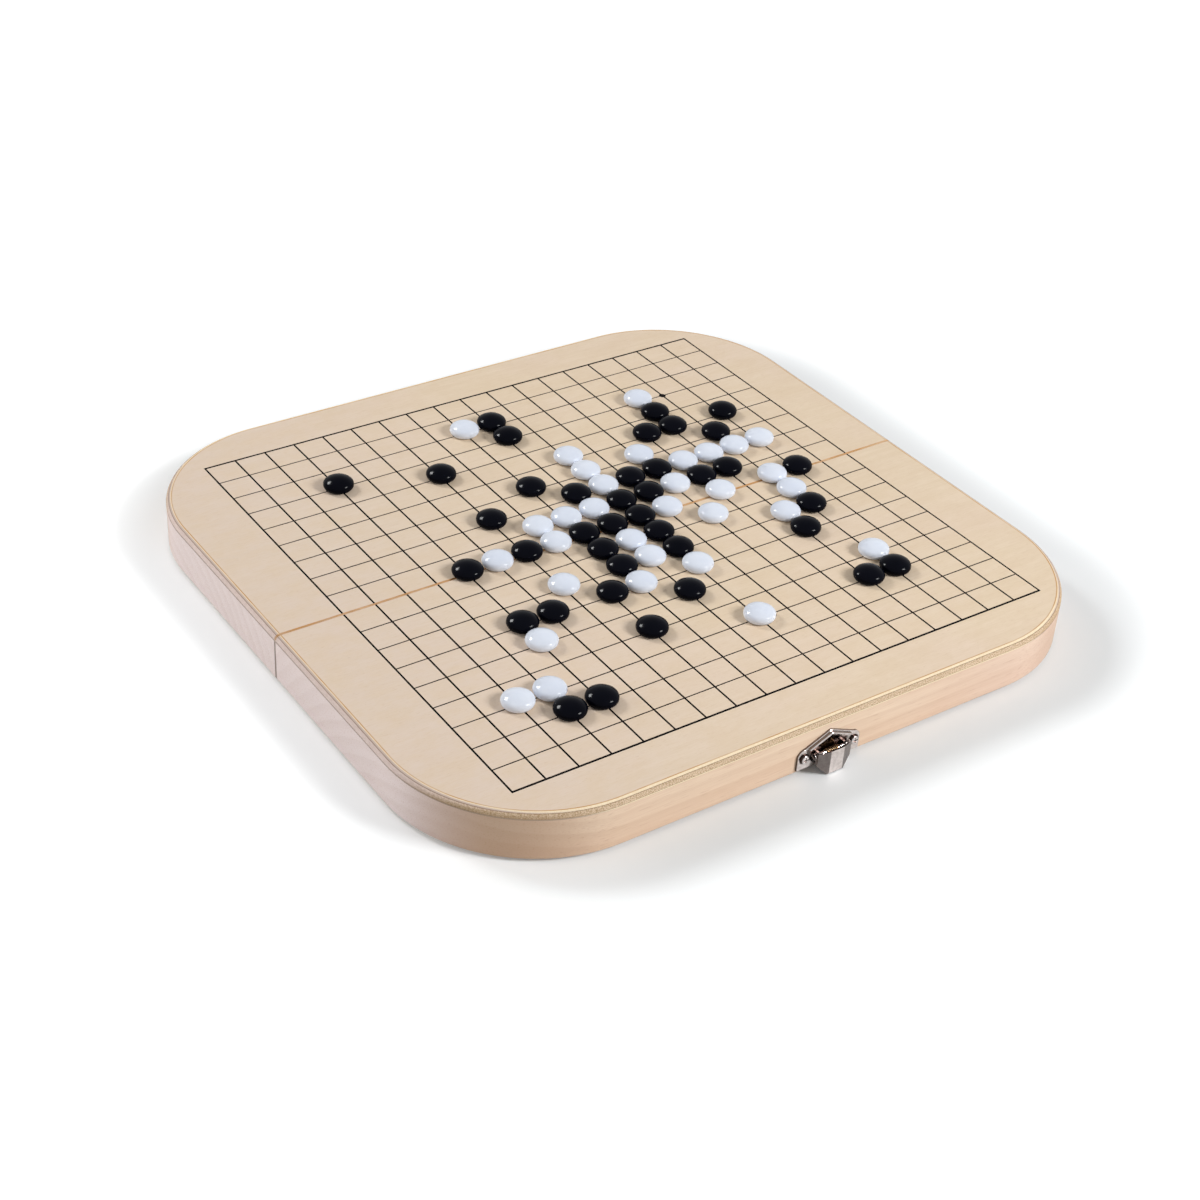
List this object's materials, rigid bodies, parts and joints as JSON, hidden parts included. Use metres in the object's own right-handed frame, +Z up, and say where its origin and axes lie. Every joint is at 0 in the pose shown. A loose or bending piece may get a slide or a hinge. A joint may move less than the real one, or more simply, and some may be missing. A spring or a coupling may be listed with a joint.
{
  "type": "folding go board with stones",
  "caption": "Wooden go board that folds in half into a shallow storage case, with a lined playing face, hinged rims, a sprung edge catch and domed stones.",
  "frame": {"origin": "on the fold, in the middle of the board, in the plane of the two rims' undersides, with the board open and playing face up", "axes": "+X along the fold, to the right when facing the catch; +Y from the catch's edge to the rear edge; +Z up"},
  "size_m": [0.32, 0.3151, 0.0285],
  "materials": {
    "frame_wood": "planed and clear lacquered, pinkish pine",
    "panel_ply": "satin lacquered tan birch",
    "grid_ink": "printed black ink",
    "hinge_steel": "plated, lightly brushed",
    "catch_nickel": "polished nickel plate",
    "spring_steel": "bright drawn wire",
    "black_stone": "polished",
    "white_stone": "polished"
  },
  "bodies": {
    "front_half": {"front_frame": "frame_wood", "front_panel": "panel_ply", "front_grid_print": "grid_ink", "left_hinge_front_leaf": "hinge_steel", "right_hinge_front_leaf": "hinge_steel", "left_hinge_pin": "hinge_steel", "right_hinge_pin": "hinge_steel", "front_hinge_screws": "hinge_steel", "catch_plate": "catch_nickel", "catch_plate_screws": "catch_nickel", "catch_pivot_pin": "catch_nickel", "catch_spring": "spring_steel"},
    "rear_half": {"rear_frame": "frame_wood", "rear_panel": "panel_ply", "rear_grid_print": "grid_ink", "left_hinge_rear_leaf": "hinge_steel", "right_hinge_rear_leaf": "hinge_steel", "rear_hinge_screws": "hinge_steel", "strike_plate": "catch_nickel", "strike_screws": "catch_nickel"},
    "hook": {"catch_hook": "catch_nickel"},
    "black_front": {"black_stones_front": "black_stone"},
    "white_front": {"white_stones_front": "white_stone"},
    "black_rear": {"black_stones_rear": "black_stone"},
    "white_rear": {"white_stones_rear": "white_stone"}
  },
  "joints": [
    {"name": "board_fold", "type": "hinge", "parent": "front_half", "child": "rear_half", "pos_m": [0, 0, -0.0001], "axis": [-1, 0, 0], "range_deg": [0, 180]},
    {"name": "catch_swing", "type": "hinge", "parent": "front_half", "child": "hook", "pos_m": [0, -0.155, 0.007], "axis": [-1, 0, 0], "range_deg": [0, 35], "stiffness_Nm_per_rad": 0.02, "springref_deg": -20.05},
    {"name": "black_front_lift", "type": "slide", "parent": "front_half", "child": "black_front", "axis": [0, 0, 1], "range_m": [0, 0.06]},
    {"name": "white_front_lift", "type": "slide", "parent": "front_half", "child": "white_front", "axis": [0, 0, 1], "range_m": [0, 0.06]},
    {"name": "black_rear_lift", "type": "slide", "parent": "rear_half", "child": "black_rear", "axis": [0, 0, 1], "range_m": [0, 0.06]},
    {"name": "white_rear_lift", "type": "slide", "parent": "rear_half", "child": "white_rear", "axis": [0, 0, 1], "range_m": [0, 0.06]}
  ]
}
